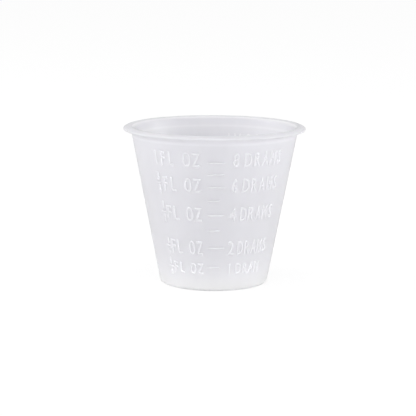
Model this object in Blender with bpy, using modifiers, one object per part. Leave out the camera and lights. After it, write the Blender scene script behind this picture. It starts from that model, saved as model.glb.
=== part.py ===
"""A graduated medicine cup, moulded in one piece.

The wall is a cone that thickens towards the mouth. There it bends outwards and turns down
as an open lip with a full round edge. A shallow recess leaves a standing ring under the
floor, round the mark of the gate where the plastic came in. Raised bars on the outside mark
fluid drams in front and millilitres at the back.
Each bar stands where the inside of this cup really holds its volume.

The axis is Z, the cup stands on Z = 0, and the dram scale faces -Y. Sizes are in metres.
"""

import math

import bmesh
import bpy
from mathutils import Matrix, Vector

MM = 0.001
ML = 1e-6

# The body
OVERALL_HEIGHT = 41.2 * MM
RIM_RADIUS = 23.7 * MM
BASE_RADIUS = 13.95 * MM  # the outside of the wall, carried straight down to the table
WALL_AT_BASE = 0.55 * MM
WALL_AT_LIP = 0.95 * MM
FLOOR_THICKNESS = 0.6 * MM
OUTER_CORNER = 1.1 * MM
INNER_CORNER = 1.3 * MM

# The standing ring
FOOT_WIDTH = 1.3 * MM
FOOT_RECESS = 0.2 * MM

# The gate mark
GATE_RADIUS = 0.6 * MM
GATE_RAISE = 0.1 * MM

# The lip
LIP_THICKNESS = 0.7 * MM
LIP_BEND_RADIUS = 1.4 * MM  # the inside of the wall, where it bends out to the crest
LIP_DROOP_RADIUS = 2.3 * MM  # the top of the lip, where it turns down from the crest
LIP_DROOP_ANGLE = math.radians(38)
LIP_HOLLOW_RADIUS = 1.4 * MM  # under the lip, from its round edge to the wall

# The graduations
DRAM = 3.6967 * ML
DRAM_COUNT = 8
LONG_DRAM_BARS = (2, 4, 6, 7, 8)
MILLILITRE_STEP = 5.0 * ML
MILLILITRE_COUNT = 6
BAR_START = 1.55 * MM  # how far the bars begin to the left of the scale's middle
LONG_BAR = 4.1 * MM
SHORT_BAR = 2.9 * MM
BAR_FOOT = 0.45 * MM  # height of a bar where it leaves the wall
BAR_CREST = 0.25 * MM  # height of its outer face
BAR_RAISE = 0.2 * MM
BAR_ROOT = 0.2 * MM  # how deep a bar is sunk into the wall that carries it
BAR_CLEAR_OF_LIP = 0.5 * MM

# Fineness of the round stretches
TURNS = 72
ARC_STEP = math.radians(15)
BAR_STEP = math.radians(4)

FRONT, BACK = math.radians(-90), math.radians(90)


def polar(length, angle):
    return Vector((length * math.cos(angle), length * math.sin(angle)))


def arc(centre, radius, start, end):
    """Points on a circle from one angle to another, both ends included."""
    count = max(2, math.ceil(abs(end - start) / ARC_STEP))
    angles = [start + (end - start) * i / count for i in range(count + 1)]
    return [centre + polar(radius, angle) for angle in angles]


class Section:
    """The half section of the cup in the plane of its axis: x is the radius, y the height."""

    def __init__(self):
        self.place_lip()
        self.place_walls()
        self.floor_height = FOOT_RECESS + FLOOR_THICKNESS
        self.inside = self.inner_line()
        self.outline = self.inside + self.lip_line() + self.outer_line()

    def place_lip(self):
        """The crest lies where the lip's round edge ends at the rim radius."""
        middle = LIP_DROOP_RADIUS - LIP_THICKNESS / 2
        crest = RIM_RADIUS - LIP_THICKNESS / 2 - middle * math.sin(LIP_DROOP_ANGLE)
        self.edge_angle = math.radians(90) - LIP_DROOP_ANGLE
        self.droop_centre = Vector((crest, OVERALL_HEIGHT - LIP_DROOP_RADIUS))
        self.bend_centre = Vector((crest, OVERALL_HEIGHT - LIP_BEND_RADIUS))
        self.edge_centre = self.droop_centre + polar(middle, self.edge_angle)

    def place_walls(self):
        """The inner wall is tangent to the lip's bend, and the outer wall gives the thickness."""
        foot = BASE_RADIUS - WALL_AT_BASE
        across, up = self.bend_centre.x - foot, self.bend_centre.y
        reach = math.hypot(across, up)
        self.inner_slope = math.atan2(across, up) - math.asin(LIP_BEND_RADIUS / reach)
        self.inner_foot = foot
        top = self.inner_radius(up) + WALL_AT_LIP
        self.outer_slope = math.atan2(top - BASE_RADIUS, up)

    def inner_radius(self, height):
        return self.inner_foot + height * math.tan(self.inner_slope)

    def outer_radius(self, height):
        return BASE_RADIUS + height * math.tan(self.outer_slope)

    def inner_line(self):
        """From the middle of the floor up the inside to the crest of the lip."""
        height = self.floor_height + INNER_CORNER
        radius = self.inner_radius(height) - INNER_CORNER / math.cos(self.inner_slope)
        corner = arc(
            Vector((radius, height)),
            INNER_CORNER,
            math.radians(-90),
            -self.inner_slope,
        )
        bend = arc(
            self.bend_centre,
            LIP_BEND_RADIUS,
            math.radians(180) - self.inner_slope,
            math.radians(90),
        )
        return [Vector((0, self.floor_height))] + corner + bend

    def lip_line(self):
        """From the crest over the lip, round its edge and through the hollow under it."""
        hollow = self.hollow_centre()
        meeting = self.edge_centre - hollow
        meeting_angle = math.atan2(meeting.y, meeting.x)
        top = arc(self.droop_centre, LIP_DROOP_RADIUS, math.radians(90), self.edge_angle)
        edge = arc(
            self.edge_centre,
            LIP_THICKNESS / 2,
            self.edge_angle,
            meeting_angle - math.radians(180),
        )
        below = arc(
            hollow,
            LIP_HOLLOW_RADIUS,
            meeting_angle,
            math.radians(180) - self.outer_slope,
        )
        return top[1:] + edge[1:] + below[1:]

    def hollow_centre(self):
        """Centre of the arc that touches the lip's round edge and the outer wall."""
        outward = Vector((math.cos(self.outer_slope), -math.sin(self.outer_slope)))
        upward = Vector((math.sin(self.outer_slope), math.cos(self.outer_slope)))
        stand_off = (self.edge_centre - Vector((BASE_RADIUS, 0))).dot(outward)
        aside = LIP_HOLLOW_RADIUS - stand_off
        reach = LIP_HOLLOW_RADIUS + LIP_THICKNESS / 2
        return self.edge_centre + outward * aside - upward * math.sqrt(reach**2 - aside**2)

    def outer_line(self):
        """From the corner at the foot of the wall under the cup to its middle."""
        radius = self.outer_radius(OUTER_CORNER) - OUTER_CORNER / math.cos(self.outer_slope)
        corner = arc(
            Vector((radius, OUTER_CORNER)),
            OUTER_CORNER,
            -self.outer_slope,
            math.radians(-90),
        )
        ring = radius - FOOT_WIDTH
        recess = [
            Vector((ring, 0)),
            Vector((ring - FOOT_RECESS, FOOT_RECESS)),
            Vector((GATE_RADIUS, FOOT_RECESS)),
            Vector((GATE_RADIUS, FOOT_RECESS - GATE_RAISE)),
            Vector((0, FOOT_RECESS - GATE_RAISE)),
        ]
        return corner + recess

    def fill_height(self, volume):
        """Height of the liquid when the cup holds this volume, or None past the brim."""
        left = volume
        for low, high in zip(self.inside, self.inside[1:]):
            rise, spread = high.y - low.y, high.x - low.x
            if rise < 1e-9:
                continue
            ring = low.x**2 + low.x * high.x + high.x**2
            held = math.pi * rise * ring / 3
            if held < left:
                left -= held
                continue
            lean = spread / rise
            if abs(lean) < 1e-9:
                return low.y + left / (math.pi * low.x**2)
            grown = low.x**3 + 3 * lean * left / math.pi
            return low.y + (grown ** (1 / 3) - low.x) / lean
        return None


def collection(name):
    group = bpy.data.collections.new(name)
    bpy.context.scene.collection.children.link(group)
    return group


def frosted_polypropylene():
    material = bpy.data.materials.new("frosted_polypropylene")
    material.use_nodes = True
    shader = material.node_tree.nodes["Principled BSDF"]
    shader.inputs["Base Color"].default_value = (0.76, 0.765, 0.81, 1)
    shader.inputs["Roughness"].default_value = 0.38
    shader.inputs["Metallic"].default_value = 0.0
    shader.inputs["IOR"].default_value = 1.49
    shader.inputs["Transmission Weight"].default_value = 0.3
    return material


def turned_body(section, group):
    """The section as an open line from axis to axis, turned once about Z."""
    outline = bmesh.new()
    points = [outline.verts.new((point.x, 0, point.y)) for point in section.outline]
    for first, second in zip(points, points[1:]):
        outline.edges.new((first, second))
    mesh = bpy.data.meshes.new("cup")
    outline.to_mesh(mesh)
    outline.free()

    cup = bpy.data.objects.new("cup", mesh)
    group.objects.link(cup)
    turn = cup.modifiers.new("turn", "SCREW")
    turn.axis = "Z"
    turn.angle = math.radians(360)
    turn.steps = turn.render_steps = TURNS
    turn.use_merge_vertices = True
    turn.merge_threshold = 0.00001
    turn.use_smooth_shade = True
    return cup


def add_bar(bars, section, height, length, middle):
    """One raised bar: its section on the wall, swept round the cup, top edge at the height."""
    slope = section.outer_slope
    upward = Vector((math.sin(slope), math.cos(slope)))
    outward = Vector((math.cos(slope), -math.sin(slope)))
    edge = Vector((section.outer_radius(height), height))
    inset = (BAR_FOOT - BAR_CREST) / 2
    corners = (
        edge - outward * BAR_ROOT,
        edge - outward * BAR_ROOT - upward * BAR_FOOT,
        edge + outward * BAR_RAISE - upward * (BAR_FOOT - inset),
        edge + outward * BAR_RAISE - upward * inset,
    )
    start = middle - BAR_START / edge.x
    sweep = length / edge.x
    turn = Matrix.Rotation(start, 4, "Z")
    points = [bars.verts.new(turn @ Vector((point.x, 0, point.y))) for point in corners]
    face = bars.faces.new(points)
    bmesh.ops.spin(
        bars,
        geom=[face, *face.edges, *face.verts],
        cent=(0, 0, 0),
        axis=(0, 0, 1),
        angle=sweep,
        steps=max(2, math.ceil(sweep / BAR_STEP)),
    )


def graduation_bars(section, group):
    """Both scales as one hidden object, which is joined to the cup."""
    bars = bmesh.new()
    highest = section.droop_centre.y - BAR_CLEAR_OF_LIP
    for count in range(1, DRAM_COUNT + 1):
        height = section.fill_height(count * DRAM)
        if height is None or height > highest:
            break
        length = LONG_BAR if count in LONG_DRAM_BARS else SHORT_BAR
        add_bar(bars, section, height, length, FRONT)
    for count in range(1, MILLILITRE_COUNT + 1):
        height = section.fill_height(count * MILLILITRE_STEP)
        if height is None or height > highest:
            break
        add_bar(bars, section, height, LONG_BAR, BACK)
    bmesh.ops.recalc_face_normals(bars, faces=bars.faces)
    mesh = bpy.data.meshes.new("graduation_bars")
    bars.to_mesh(mesh)
    bars.free()

    tool = bpy.data.objects.new("graduation_bars", mesh)
    tool.hide_render = True
    tool.display_type = "WIRE"
    group.objects.link(tool)
    return tool


def settle(piece):
    """Makes the modifiers' result the piece's own mesh, smooth but for its true edges."""
    seen = piece.evaluated_get(bpy.context.evaluated_depsgraph_get())
    mesh = bpy.data.meshes.new_from_object(seen)
    piece.modifiers.clear()
    piece.data = mesh
    mesh.name = piece.name
    mesh.shade_smooth()
    mesh.set_sharp_from_angle(angle=math.radians(32))


def build():
    for item in list(bpy.data.objects):
        bpy.data.objects.remove(item)
    parts = collection("medicine_cup")
    tools = collection("tools")

    section = Section()
    cup = turned_body(section, parts)
    cup.data.materials.append(frosted_polypropylene())
    join = cup.modifiers.new("graduations", "BOOLEAN")
    join.operation = "UNION"
    join.solver = "EXACT"
    join.object = graduation_bars(section, tools)
    settle(cup)


build()
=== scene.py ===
import math

import bmesh
import bpy
from mathutils import Matrix, Vector


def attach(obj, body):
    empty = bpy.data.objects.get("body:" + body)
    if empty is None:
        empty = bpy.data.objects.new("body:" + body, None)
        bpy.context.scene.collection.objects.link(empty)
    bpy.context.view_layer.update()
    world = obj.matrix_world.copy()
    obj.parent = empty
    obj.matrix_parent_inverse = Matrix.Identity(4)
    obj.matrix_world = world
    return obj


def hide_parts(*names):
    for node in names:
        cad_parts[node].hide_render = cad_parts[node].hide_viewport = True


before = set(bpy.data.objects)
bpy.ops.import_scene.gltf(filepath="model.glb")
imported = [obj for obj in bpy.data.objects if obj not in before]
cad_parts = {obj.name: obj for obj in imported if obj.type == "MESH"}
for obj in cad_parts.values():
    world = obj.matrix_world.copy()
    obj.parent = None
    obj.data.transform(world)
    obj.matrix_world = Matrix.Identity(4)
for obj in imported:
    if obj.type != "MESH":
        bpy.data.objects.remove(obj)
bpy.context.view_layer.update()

MM = 0.001

# Camera
# A long lens a little above the cup and close to level, as the photograph was taken. It is
# aimed beside the cup's axis, because the cup stands a little right of the picture's middle.
AIM = Vector((-1.56, 0, 19.35)) * MM
CAMERA_DISTANCE = 480 * MM
CAMERA_LIFT = math.radians(9.61)
CAMERA_ROLL = math.radians(0.3)

camera = bpy.data.objects.new("camera", bpy.data.cameras.new("camera"))
camera.data.lens = 158.5
camera.data.sensor_width = 36
camera.data.clip_start = 0.01
camera.data.clip_end = 20
camera.location = AIM + Vector((0, -math.cos(CAMERA_LIFT), math.sin(CAMERA_LIFT))) * CAMERA_DISTANCE
lens_tilt = Matrix.Rotation(math.radians(90) - CAMERA_LIFT, 3, "X")
camera.rotation_euler = (lens_tilt @ Matrix.Rotation(CAMERA_ROLL, 3, "Z")).to_euler()
bpy.context.scene.collection.objects.link(camera)
bpy.context.scene.camera = camera
bpy.context.scene.view_settings.view_transform = "Standard"

# Floor
# One white sheet under and behind the cup. It is lit as any white sheet is, and looks
# paler still to the eye, so that only a faint shadow is left on it.
FLOOR_REACH = 4.0
FLOOR_WHITE = (0.98, 0.98, 0.98, 1)
FLOOR_GLOW = 0.82


def any_ray_seen(nodes, links):
    """One for rays from the eye, mirrored or through plastic, and nought for those that light."""
    seen_by = nodes.new("ShaderNodeLightPath")
    either = nodes.new("ShaderNodeMath")
    either.operation = "MAXIMUM"
    any_of = nodes.new("ShaderNodeMath")
    any_of.operation = "MAXIMUM"
    links.new(seen_by.outputs["Is Camera Ray"], either.inputs[0])
    links.new(seen_by.outputs["Is Glossy Ray"], either.inputs[1])
    links.new(either.outputs[0], any_of.inputs[0])
    links.new(seen_by.outputs["Is Transmission Ray"], any_of.inputs[1])
    return any_of.outputs[0]


sheet = bmesh.new()
bmesh.ops.create_circle(sheet, cap_ends=True, segments=96, radius=FLOOR_REACH)
floor_mesh = bpy.data.meshes.new("floor")
sheet.to_mesh(floor_mesh)
sheet.free()
floor = bpy.data.objects.new("floor", floor_mesh)
bpy.context.scene.collection.objects.link(floor)

paper = bpy.data.materials.new("white_sheet")
paper.use_nodes = True
nodes, links = paper.node_tree.nodes, paper.node_tree.links
nodes.clear()
out = nodes.new("ShaderNodeOutputMaterial")
glow = nodes.new("ShaderNodeEmission")
glow.inputs["Color"].default_value = (1, 1, 1, 1)
glow.inputs["Strength"].default_value = 1.0
matt = nodes.new("ShaderNodeBsdfDiffuse")
matt.inputs["Color"].default_value = FLOOR_WHITE
share = nodes.new("ShaderNodeMath")
share.operation = "MULTIPLY"
share.inputs[1].default_value = FLOOR_GLOW
mix = nodes.new("ShaderNodeMixShader")
links.new(any_ray_seen(nodes, links), share.inputs[0])
links.new(share.outputs[0], mix.inputs["Fac"])
links.new(matt.outputs[0], mix.inputs[1])
links.new(glow.outputs[0], mix.inputs[2])
links.new(mix.outputs[0], out.inputs["Surface"])
floor.data.materials.append(paper)

# Lights
# A white room all round, with soft lamps: one on each side for the edges of the cup, one low in
# front for the wall and the foot, and one overhead for the lip and the inside of the far wall.
ROOM_LIGHT = 0.855
LAMPS = (
    ("left_lamp", (-0.76, 0.02, 0.40), 0.40, 2.35),
    ("right_lamp", (0.80, 0.02, 0.13), 0.40, 2.05),
    ("front_lamp", (0.0, -0.80, 0.03), 0.30, 1.6),
    ("top_lamp", (0.05, -0.35, 0.80), 0.45, 1.3),
)

room = bpy.data.worlds.new("white_room")
bpy.context.scene.world = room
room.use_nodes = True
nodes, links = room.node_tree.nodes, room.node_tree.links
nodes.clear()
out = nodes.new("ShaderNodeOutputWorld")
lit = nodes.new("ShaderNodeBackground")
lit.inputs["Color"].default_value = (1, 1, 1, 1)
lit.inputs["Strength"].default_value = ROOM_LIGHT
seen = nodes.new("ShaderNodeBackground")
seen.inputs["Color"].default_value = (1, 1, 1, 1)
seen.inputs["Strength"].default_value = 1.0
mix = nodes.new("ShaderNodeMixShader")
links.new(any_ray_seen(nodes, links), mix.inputs["Fac"])
links.new(lit.outputs[0], mix.inputs[1])
links.new(seen.outputs[0], mix.inputs[2])
links.new(mix.outputs[0], out.inputs["Surface"])

for name, place, size, watts in LAMPS:
    lamp = bpy.data.objects.new(name, bpy.data.lights.new(name, "AREA"))
    lamp.data.shape = "DISK"
    lamp.data.size = size
    lamp.data.energy = watts
    lamp.location = place
    toward = AIM - Vector(place)
    lamp.rotation_euler = toward.to_track_quat("-Z", "Y").to_euler()
    bpy.context.scene.collection.objects.link(lamp)

# Body of the cup
# One injection moulding in polypropylene: a cone that thickens towards the mouth, with the lip
# turned over and a ring to stand on. Its section is drawn as one line, then turned about Z.
HEIGHT = 41.2 * MM
RIM_RADIUS = 23.7 * MM
BASE_RADIUS = 13.95 * MM
WALL_AT_BASE, WALL_AT_LIP = 0.55 * MM, 0.95 * MM
FLOOR_TOP = 0.8 * MM
FOOT_WIDTH, FOOT_RECESS = 1.3 * MM, 0.2 * MM
GATE_RADIUS, GATE_RAISE = 0.6 * MM, 0.1 * MM
OUTER_CORNER, INNER_CORNER = 1.1 * MM, 1.3 * MM
LIP_THICKNESS = 0.7 * MM
BEND, DROOP, DROOP_ANGLE = 1.4 * MM, 2.3 * MM, 38
LIP_HOLLOW = 1.4 * MM
BODY_STEPS = 288
WALL_RINGS = 36
CORNER_STEPS, BEND_STEPS, DROOP_STEPS, HOLLOW_STEPS = 8, 10, 6, 12
SEAM_GAP = 0.002 * MM


def line_to(form, start, x, z):
    """Draws on in a straight line and returns the new end."""
    end = bmesh.ops.extrude_vert_indiv(form, verts=[start])["verts"][0]
    end.co = (x, 0, z)
    return end


def arc_to(form, start, x, z, degrees, steps):
    """Draws on round a centre, to the left for a positive angle, and returns the new end."""
    turned = bmesh.ops.spin(
        form,
        geom=[start],
        cent=(x, 0, z),
        axis=(0, -1, 0),
        angle=math.radians(degrees),
        steps=steps,
    )
    return turned["geom_last"][0]


crest = RIM_RADIUS - LIP_THICKNESS / 2
crest -= (DROOP - LIP_THICKNESS / 2) * math.sin(math.radians(DROOP_ANGLE))
bend_z, droop_z = HEIGHT - BEND, HEIGHT - DROOP
inner_foot = BASE_RADIUS - WALL_AT_BASE
inner_slope = math.atan2(crest - inner_foot, bend_z)
inner_slope -= math.asin(BEND / math.hypot(crest - inner_foot, bend_z))
inner_lean = math.tan(inner_slope)
outer_lean = (inner_foot + bend_z * inner_lean + WALL_AT_LIP - BASE_RADIUS) / bend_z
outer_slope = math.atan(outer_lean)
outward = Vector((math.cos(outer_slope), 0, -math.sin(outer_slope)))
upward = Vector((math.sin(outer_slope), 0, math.cos(outer_slope)))

# the hollow under the lip touches both the lip's round edge and the wall
edge_turn = math.radians(90 - DROOP_ANGLE)
edge = Vector((crest, 0, droop_z))
edge += Vector((math.cos(edge_turn), 0, math.sin(edge_turn))) * (DROOP - LIP_THICKNESS / 2)
aside = LIP_HOLLOW - (edge - Vector((BASE_RADIUS, 0, 0))).dot(outward)
drop = math.sqrt((LIP_HOLLOW + LIP_THICKNESS / 2) ** 2 - aside**2)
hollow = edge + outward * aside - upward * drop
hollow_angle = math.degrees(math.atan2(edge.z - hollow.z, edge.x - hollow.x))

inside = math.degrees(inner_slope)
outside = math.degrees(outer_slope)
corner_z = FLOOR_TOP + INNER_CORNER
corner_x = inner_foot + corner_z * inner_lean - INNER_CORNER / math.cos(inner_slope)
foot_x = BASE_RADIUS + OUTER_CORNER * outer_lean - OUTER_CORNER / math.cos(outer_slope)

body = bmesh.new()
pen = body.verts.new((0, 0, FLOOR_TOP))
pen = line_to(body, pen, corner_x / 2, FLOOR_TOP)
pen = line_to(body, pen, corner_x, FLOOR_TOP)
pen = arc_to(body, pen, corner_x, corner_z, 90 - inside, CORNER_STEPS)
wall_foot = pen.co.copy()
wall_top = Vector((crest - BEND * math.cos(inner_slope), 0, bend_z + BEND * math.sin(inner_slope)))
for ring in range(1, WALL_RINGS + 1):
    point = wall_foot.lerp(wall_top, ring / WALL_RINGS)
    pen = line_to(body, pen, point.x, point.z)
pen = arc_to(body, pen, crest, bend_z, inside - 90, BEND_STEPS)
pen = arc_to(body, pen, crest, droop_z, -DROOP_ANGLE, DROOP_STEPS)
pen = arc_to(body, pen, edge.x, edge.z, hollow_angle - 180 - 90 + DROOP_ANGLE, HOLLOW_STEPS)
pen = arc_to(body, pen, hollow.x, hollow.z, 180 - outside - hollow_angle, HOLLOW_STEPS)
wall_top = pen.co.copy()
wall_foot = Vector((foot_x, 0, OUTER_CORNER)) + outward * OUTER_CORNER
for ring in range(1, WALL_RINGS + 1):
    point = wall_top.lerp(wall_foot, ring / WALL_RINGS)
    pen = line_to(body, pen, point.x, point.z)
pen = arc_to(body, pen, foot_x, OUTER_CORNER, outside - 90, CORNER_STEPS)
pen = line_to(body, pen, foot_x - FOOT_WIDTH, 0)
pen = line_to(body, pen, foot_x - FOOT_WIDTH - FOOT_RECESS, FOOT_RECESS)
pen = line_to(body, pen, GATE_RADIUS, FOOT_RECESS)
pen = line_to(body, pen, GATE_RADIUS, FOOT_RECESS - GATE_RAISE)
pen = line_to(body, pen, 0, FOOT_RECESS - GATE_RAISE)

bmesh.ops.spin(
    body,
    geom=body.verts[:] + body.edges[:],
    cent=(0, 0, 0),
    axis=(0, 0, 1),
    angle=math.radians(360),
    steps=BODY_STEPS,
    use_merge=True,
)
bmesh.ops.remove_doubles(body, verts=body.verts, dist=SEAM_GAP)
bmesh.ops.recalc_face_normals(body, faces=body.faces)
body_mesh = bpy.data.meshes.new("moulded_cup")
body.to_mesh(body_mesh)
body.free()
cup = bpy.data.objects.new("moulded_cup", body_mesh)
bpy.context.scene.collection.objects.link(cup)

# the plastic's tone at each height in mm, outside and inside, with painted light and shade in it:
# lightest at the foot to lift the floor's shade, with painted bright lines and a painted darker
# band at the lip
TINT = (0.967, 0.963, 1.0)
TONE_AND_PAINTED_LIGHT_OUTSIDE = (
    (0, 0.98),
    (3.2, 0.92),
    (7, 0.83),
    (12, 0.79),
    (27, 0.785),
    (34, 0.80),
    (38.3, 0.82),
    (38.7, 0.88),
    (40.2, 0.765),
    (40.6, 0.78),
    (41.2, 0.80),
)
TONE_AND_PAINTED_LIGHT_INSIDE = (
    (0, 1.0),
    (0.8, 1.0),
    (1.3, 0.93),
    (8, 0.90),
    (28, 0.90),
    (34, 0.915),
    (38.2, 0.915),
    (38.6, 0.97),
    (39.1, 0.905),
    (40.5, 0.88),
    (40.9, 0.955),
    (41.2, 0.955),
)
CLOUD_SIZE, STREAK_SIZE, SKIN_SIZE = 7 * MM, 2.5 * MM, 0.25 * MM
STREAK_DRAWN = 0.12  # along Z, as the plastic flowed
CLOUDED, SKIN_VARIES = 0.03, 0.1
CLOUD_RELIEF, SKIN_RELIEF, SKIN_DEPTH = 6.0, 0.3, 0.012 * MM
REFRACTION = 1.49
GLOW_DEPTH = 0.9 * MM
CLEAR_SKIN, SKIN_TINT = 0.25, (0.94, 0.94, 0.94, 1)


def maths(nodes, links, operation, *values):
    """A Math node on sockets or numbers, and its result."""
    node = nodes.new("ShaderNodeMath")
    node.operation = operation
    for socket, value in zip(node.inputs, values):
        if isinstance(value, bpy.types.NodeSocket):
            links.new(value, socket)
        else:
            socket.default_value = value
    return node.outputs[0]


def noise(nodes, links, place, size, detail, squeeze=1.0):
    """Noise of that grain, drawn out along Z where squeeze is small."""
    stretch = nodes.new("ShaderNodeMapping")
    stretch.inputs["Scale"].default_value = (1, 1, squeeze)
    links.new(place, stretch.inputs["Vector"])
    grain = nodes.new("ShaderNodeTexNoise")
    grain.inputs["Scale"].default_value = 1 / size
    grain.inputs["Detail"].default_value = detail
    links.new(stretch.outputs[0], grain.inputs["Vector"])
    return grain.outputs["Fac"]


def milk_ramp(nodes, links, height, stops):
    """A tone that changes with height, with painted light and shade in it."""
    ramp = nodes.new("ShaderNodeValToRGB")
    while len(ramp.color_ramp.elements) < len(stops):
        ramp.color_ramp.elements.new(0.5)
    for element, (z, tone) in zip(ramp.color_ramp.elements, stops):
        element.position = z * MM / HEIGHT
        element.color = (tone * TINT[0], tone * TINT[1], tone * TINT[2], 1)
    links.new(height, ramp.inputs[0])
    return ramp.outputs["Color"]


def frosted(name, strength, roughness, through):
    """Natural polypropylene, milky with its glow beneath the surface, with painted light and shade
    by height in its colour, faintly clouded and streaked, with a fine matt skin.
    """
    material = bpy.data.materials.new(name)
    material.use_nodes = True
    nodes, links = material.node_tree.nodes, material.node_tree.links
    shader = nodes["Principled BSDF"]
    shader.inputs["IOR"].default_value = REFRACTION
    shader.inputs["Transmission Weight"].default_value = through
    shader.inputs["Subsurface Weight"].default_value = 1.0
    shader.inputs["Subsurface Radius"].default_value = (1, 1, 1)
    shader.inputs["Subsurface Scale"].default_value = GLOW_DEPTH
    shader.inputs["Coat Weight"].default_value = CLEAR_SKIN
    shader.inputs["Coat IOR"].default_value = 1.0
    shader.inputs["Coat Tint"].default_value = SKIN_TINT
    place = nodes.new("ShaderNodeTexCoord").outputs["Object"]
    apart = nodes.new("ShaderNodeSeparateXYZ")
    links.new(place, apart.inputs[0])
    across = maths(nodes, links, "MULTIPLY", apart.outputs["X"], apart.outputs["X"])
    along = maths(nodes, links, "MULTIPLY", apart.outputs["Y"], apart.outputs["Y"])
    radius = maths(nodes, links, "SQRT", maths(nodes, links, "ADD", across, along))
    middle = maths(nodes, links, "MULTIPLY", apart.outputs["Z"], (inner_lean + outer_lean) / 2)
    middle = maths(nodes, links, "ADD", middle, (inner_foot + BASE_RADIUS) / 2)
    is_outside = maths(nodes, links, "GREATER_THAN", radius, middle)
    height = maths(nodes, links, "DIVIDE", apart.outputs["Z"], HEIGHT)
    # outside and inside each take their own ramp of tone with painted light and shade
    sides = nodes.new("ShaderNodeMix")
    sides.data_type = "RGBA"
    links.new(is_outside, sides.inputs["Factor"])
    links.new(milk_ramp(nodes, links, height, TONE_AND_PAINTED_LIGHT_INSIDE), sides.inputs["A"])
    links.new(milk_ramp(nodes, links, height, TONE_AND_PAINTED_LIGHT_OUTSIDE), sides.inputs["B"])

    clouds = noise(nodes, links, place, CLOUD_SIZE, detail=2)
    streaks = noise(nodes, links, place, STREAK_SIZE, detail=1, squeeze=STREAK_DRAWN)
    uneven = maths(nodes, links, "ADD", clouds, streaks)
    uneven = maths(nodes, links, "MULTIPLY_ADD", uneven, CLOUDED, strength - CLOUDED)
    shade = nodes.new("ShaderNodeMix")
    shade.data_type = "RGBA"
    shade.blend_type = "MULTIPLY"
    shade.inputs["Factor"].default_value = 1.0
    links.new(sides.outputs["Result"], shade.inputs["A"])
    links.new(uneven, shade.inputs["B"])
    links.new(shade.outputs["Result"], shader.inputs["Base Color"])

    skin = noise(nodes, links, place, SKIN_SIZE, detail=2)
    rough = maths(nodes, links, "MULTIPLY_ADD", skin, SKIN_VARIES, roughness - SKIN_VARIES / 2)
    links.new(rough, shader.inputs["Roughness"])
    relief = maths(nodes, links, "MULTIPLY_ADD", clouds, CLOUD_RELIEF, skin)
    bump = nodes.new("ShaderNodeBump")
    bump.inputs["Strength"].default_value = SKIN_RELIEF
    bump.inputs["Distance"].default_value = SKIN_DEPTH
    links.new(relief, bump.inputs["Height"])
    links.new(bump.outputs["Normal"], shader.inputs["Normal"])
    return material


plastic = frosted("frosted_polypropylene", strength=1.0, roughness=0.38, through=0.3)

# Graduation bars
# Raised lines moulded on the outside of the wall, drams in front and millilitres behind.
# Each stands where the inside really holds its volume.
BAR_RAISE, BAR_DEPTH = 0.2 * MM, 0.3 * MM
BAR_FOOT, BAR_CREST = 0.45 * MM, 0.25 * MM
BAR_LEFT, LONG_BAR, SHORT_BAR = 1.55 * MM, 4.1 * MM, 2.9 * MM
BAR_EDGE_STEPS, BEND_STEP = 3, 0.8 * MM
FRONT, BACK = -90, 90
DRAM, MILLILITRE = 3.6967e-6, 1e-6
LONG_DRAMS = (2, 4, 6, 7, 8)
HALVINGS, SLICES = 30, 200
# slots for the copies of the plastic with painted light and shade: crests, slopes and the marks
# inside
ON_CREST, ON_SIDE, INSIDE = 1, 2, 3
FACES_OUT = 0.9  # how squarely a crest looks away from the wall


def fill_height(volume):
    """How high the liquid stands when the cup holds this volume."""
    low, high = FLOOR_TOP, HEIGHT
    for halving in range(HALVINGS):
        level = (low + high) / 2
        held = 0
        for count in range(SLICES):
            z = FLOOR_TOP + (level - FLOOR_TOP) * (count + 0.5) / SLICES
            radius = inner_foot + z * inner_lean
            if z < corner_z:
                drop = corner_z - z
                radius = corner_x + math.sqrt(max(INNER_CORNER**2 - drop**2, 0))
            held += math.pi * radius**2 * (level - FLOOR_TOP) / SLICES
        low, high = (level, high) if held < volume else (low, level)
    return low


def press_on_wall(form, facing, z):
    """Bends a flat form, drawn as x across, y up and z outwards, onto the wall at this height."""
    radius = BASE_RADIUS + z * outer_lean
    lowest = min(vert.co.x for vert in form.verts)
    highest = max(vert.co.x for vert in form.verts)
    for count in range(math.ceil(lowest / BEND_STEP), math.floor(highest / BEND_STEP) + 1):
        bmesh.ops.bisect_plane(
            form,
            geom=form.verts[:] + form.edges[:] + form.faces[:],
            dist=1e-7,
            plane_co=(count * BEND_STEP, 0, 0),
            plane_no=(1, 0, 0),
        )
    for vert in form.verts:
        turn = math.radians(facing) + vert.co.x / radius
        point = upward * vert.co.y + outward * vert.co.z + Vector((radius, 0, z))
        vert.co = Matrix.Rotation(turn, 3, "Z") @ point


def raised_bar(left, length, facing, z):
    """A bar with sloping sides, its top edge at z, rooted in the wall."""
    form = bmesh.new()
    bmesh.ops.create_cube(form, size=1)
    bmesh.ops.scale(form, vec=(length, BAR_FOOT, BAR_RAISE + BAR_DEPTH), verts=form.verts)
    middle = (left + length / 2, -BAR_FOOT / 2, (BAR_RAISE - BAR_DEPTH) / 2)
    bmesh.ops.translate(form, vec=middle, verts=form.verts)
    edges = [edge for edge in form.edges if all(vert.co.z > 0 for vert in edge.verts)]
    bmesh.ops.bevel(
        form,
        geom=edges,
        offset=(BAR_FOOT - BAR_CREST) / 2,
        offset_type="OFFSET",
        segments=BAR_EDGE_STEPS,
        profile=0.5,
        affect="EDGES",
        material=-1,
    )
    form.normal_update()
    # the crests take the copy of the plastic with painted light, the sides the plain plastic
    for face in form.faces:
        face.material_index = ON_CREST if face.normal.z > FACES_OUT else 0
    press_on_wall(form, facing, z)
    return form


def add_form(raised, form):
    """Puts a finished form into the mesh of raised work."""
    part = bpy.data.meshes.new("part")
    form.to_mesh(part)
    form.free()
    raised.from_mesh(part)
    bpy.data.meshes.remove(part)


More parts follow.
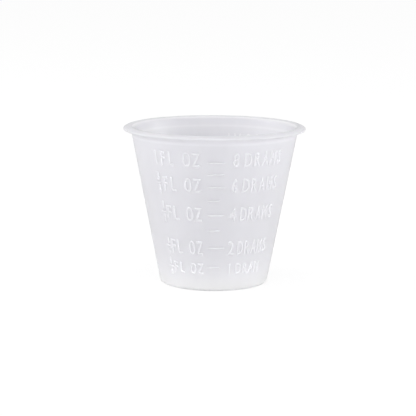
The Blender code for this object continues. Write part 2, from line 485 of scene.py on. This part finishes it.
raised = bmesh.new()
for count in range(1, 9):
    length = LONG_BAR if count in LONG_DRAMS else SHORT_BAR
    add_form(raised, raised_bar(-BAR_LEFT, length, FRONT, fill_height(count * DRAM)))
for count in range(5, 35, 5):
    add_form(raised, raised_bar(-BAR_LEFT, LONG_BAR, BACK, fill_height(count * MILLILITRE)))

# Raised lettering
# Plain measures moulded beside the bars, cut into the mould letter by letter with one narrow
# alphabet: fluid ounces and drams in front, millilitres and spoons behind. They reach through
# the wall, where they show inside as marks that hardly stand out, painted paler as painted light.
LETTER_RAISE, LETTER_SHOW = 0.17 * MM, 0.03 * MM
CAPITAL, SMALL_CAPITAL = 3.6 * MM, 2.8 * MM
CAPITAL_SHARE = 0.682  # of the alphabet's own size
NARROW = 0.62
WIDEST = 0.094  # of the cup's radius
SOFT_EDGE, SOFT_SHARE = 0.13 * MM, 0.045
CURVE_STEPS, EDGE_STEPS = 4, 2
DOUBLED = 0.0001 * MM
FACES_IN = -0.02
FRACTION_BAR, FRACTION_GAP = 1.4 * MM, 1.3 * MM
LETTER_TURN, SPACE_TURN = 7.1, 4.9
FLUID_TURN, NUMBER_TURN, UNIT_TURN = -39.3, 15.4, 24.4
DIGIT_TURN, M_TURN, L_TURN = -27.4, -18.4, -10.1


def wall_thickness(z):
    """The wall's thickness square to its face."""
    return (BASE_RADIUS - inner_foot + z * (outer_lean - inner_lean)) * math.cos(outer_slope)


def tell_faces_apart(form):
    """Gives the flat outer faces, the slopes and the inner faces a slot each, for copies of the
    plastic with painted light and shade.
    """
    form.normal_update()
    for face in form.faces:
        if face.normal.z > FACES_OUT:
            face.material_index = ON_CREST
        elif face.normal.z < FACES_IN:
            face.material_index = INSIDE
        else:
            face.material_index = ON_SIDE


def letter(sign, height, widest, depth):
    """One letter, flat and closed, middle at nought, narrowed before its strokes get their edge."""
    text = bpy.data.curves.new("letter", "FONT")
    text.body = sign
    text.size = height / CAPITAL_SHARE
    text.align_x = "CENTER"
    holder = bpy.data.objects.new("letter", text)
    bpy.context.scene.collection.objects.link(holder)
    bpy.context.view_layer.update()
    outline = holder.to_curve(bpy.context.evaluated_depsgraph_get()).copy()
    holder.to_curve_clear()
    across = [point.co.x for spline in outline.splines for point in spline.bezier_points]
    middle, reach = (min(across) + max(across)) / 2, max(across) - min(across)
    narrow = min(NARROW, widest / reach)
    soft = min(SOFT_EDGE, SOFT_SHARE * height)
    for spline in outline.splines:
        for point in spline.bezier_points:
            places = (point.co, point.handle_left, point.handle_right)
            moved = [
                Vector(((place.x - middle) * narrow, place.y - height / 2, 0)) for place in places
            ]
            point.co, point.handle_left, point.handle_right = moved
    outline.resolution_u = CURVE_STEPS
    outline.fill_mode = "BOTH"
    outline.offset = -soft / 2
    outline.bevel_depth = soft
    outline.bevel_resolution = EDGE_STEPS
    outline.extrude = (LETTER_RAISE + depth) / 2 - soft
    bpy.data.objects.remove(holder)
    bpy.data.curves.remove(text)
    shaped = bpy.data.objects.new("letter", outline)
    bpy.context.scene.collection.objects.link(shaped)
    bpy.context.view_layer.update()
    finished = shaped.evaluated_get(bpy.context.evaluated_depsgraph_get())
    mesh = bpy.data.meshes.new_from_object(finished)
    form = bmesh.new()
    form.from_mesh(mesh)
    bmesh.ops.remove_doubles(form, verts=form.verts, dist=DOUBLED)
    bmesh.ops.recalc_face_normals(form, faces=form.faces)
    bmesh.ops.translate(form, vec=(0, 0, (LETTER_RAISE - depth) / 2), verts=form.verts)
    tell_faces_apart(form)
    bpy.data.objects.remove(shaped)
    bpy.data.curves.remove(outline)
    bpy.data.meshes.remove(mesh)
    return form


def add_words(words, height, facing, z, turn):
    """Letters on the wall at an even turn from one to the next, the first at this turn."""
    radius = BASE_RADIUS + z * outer_lean
    for sign in words:
        if sign == " ":
            turn += SPACE_TURN
            continue
        form = letter(sign, height, WIDEST * radius, wall_thickness(z) + LETTER_SHOW)
        bmesh.ops.translate(form, vec=(math.radians(turn) * radius, 0, 0), verts=form.verts)
        press_on_wall(form, facing, z)
        add_form(raised, form)
        turn += LETTER_TURN


def add_fraction(upper, lower, height, facing, z, turn):
    """A fraction as tall as given, with its bar in the middle."""
    radius = BASE_RADIUS + z * outer_lean
    digit = (height - FRACTION_GAP) / 2
    for sign, shift in ((upper, (height - digit) / 2), (lower, (digit - height) / 2)):
        form = letter(sign, digit, WIDEST * radius, wall_thickness(z) + LETTER_SHOW)
        bmesh.ops.translate(form, vec=(math.radians(turn) * radius, shift, 0), verts=form.verts)
        press_on_wall(form, facing, z)
        add_form(raised, form)
    start = math.radians(turn) * radius - FRACTION_BAR / 2
    form = raised_bar(start, FRACTION_BAR, facing, z + BAR_FOOT / 2)
    # the whole fraction bar takes the crests' copy with painted light
    for face in form.faces:
        face.material_index = ON_CREST
    add_form(raised, form)


# drams, the ounces in upper and lower figures and their height, turn and lift off the bar
FLUID_LABELS = (
    (8, "1", "", CAPITAL, -45.8, 0.4 * MM),
    (6, "3", "4", 5.7 * MM, -46.0, 0.15 * MM),
    (4, "1", "2", 5.7 * MM, -45.0, -0.1 * MM),
    (2, "1", "4", 4.2 * MM, -44.8, -0.3 * MM),
    (1, "1", "8", 4.6 * MM, -45.4, -0.7 * MM),
)
for count, upper, lower, tall, turn, above_bar in FLUID_LABELS:
    z = fill_height(count * DRAM) + above_bar
    height = CAPITAL if count > 1 else SMALL_CAPITAL
    add_words("FL OZ", height, FRONT, z, FLUID_TURN)
    add_words(str(count), height, FRONT, z, NUMBER_TURN)
    add_words("DRAMS" if count > 1 else "DRAM", height, FRONT, z, UNIT_TURN)
    if lower:
        add_fraction(upper, lower, tall, FRONT, z, turn)
    else:
        add_words(upper, tall, FRONT, z, turn)

for count in range(5, 35, 5):
    z = fill_height(count * MILLILITRE)
    add_words("M", CAPITAL, BACK, z, M_TURN)
    add_words("L", CAPITAL, BACK, z, L_TURN)
    for place, digit in enumerate(reversed(str(count))):
        add_words(digit, CAPITAL, BACK, z, DIGIT_TURN - place * LETTER_TURN)
for count, number, word in ((15, "1", "TBSP"), (10, "2", "TSP"), (5, "1", "TSP")):
    z = fill_height(count * MILLILITRE)
    add_words(number, CAPITAL, BACK, z, NUMBER_TURN)
    add_words(word, CAPITAL, BACK, z, UNIT_TURN)

# One moulding
# The bars and letters came out of the mould in one piece with the wall, so all of it is joined
# to one closed skin. Crests and slopes take copies of the plastic painted a little darker or
# lighter, as painted light and shade on the relief, and the marks inside a paler copy as painted
# light.
TOUCHING = 0.001 * MM
SHARP_EDGE = math.radians(40)
slots = (
    plastic,
    frosted("raised_crest_painted_light", strength=0.93, roughness=0.42, through=0.12),
    frosted("raised_slope_painted_shade", strength=0.995, roughness=0.42, through=0.0),
    frosted("inside_mark_painted_light", strength=1.11, roughness=0.38, through=0.0),
)
raised_mesh = bpy.data.meshes.new("raised_work")
raised.to_mesh(raised_mesh)
raised.free()
for material in slots:
    cup.data.materials.append(material)
    raised_mesh.materials.append(material)
tool = bpy.data.objects.new("raised_work", raised_mesh)
bpy.context.scene.collection.objects.link(tool)
join = cup.modifiers.new("raised_work", "BOOLEAN")
join.operation = "UNION"
join.solver = "MANIFOLD"
join.object = tool
bpy.context.view_layer.update()
finished = cup.evaluated_get(bpy.context.evaluated_depsgraph_get())
joined = bpy.data.meshes.new_from_object(finished)
cup.modifiers.clear()
cup.data = joined
bpy.data.objects.remove(tool)

# the join leaves corners that all but meet, and slivers lying back to back
skin = bmesh.new()
skin.from_mesh(joined)
bmesh.ops.remove_doubles(skin, verts=skin.verts, dist=TOUCHING)
bmesh.ops.triangulate(skin, faces=skin.faces, quad_method="BEAUTY", ngon_method="BEAUTY")
by_corners = {}
for face in skin.faces:
    by_corners.setdefault(frozenset(face.verts), []).append(face)
slivers = [face for faces in by_corners.values() if len(faces) > 1 for face in faces]
bmesh.ops.delete(skin, geom=slivers, context="FACES")
skin.to_mesh(joined)
skin.free()
joined.shade_smooth()
joined.set_sharp_from_angle(angle=SHARP_EDGE)
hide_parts("cup")
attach(cup, "root")
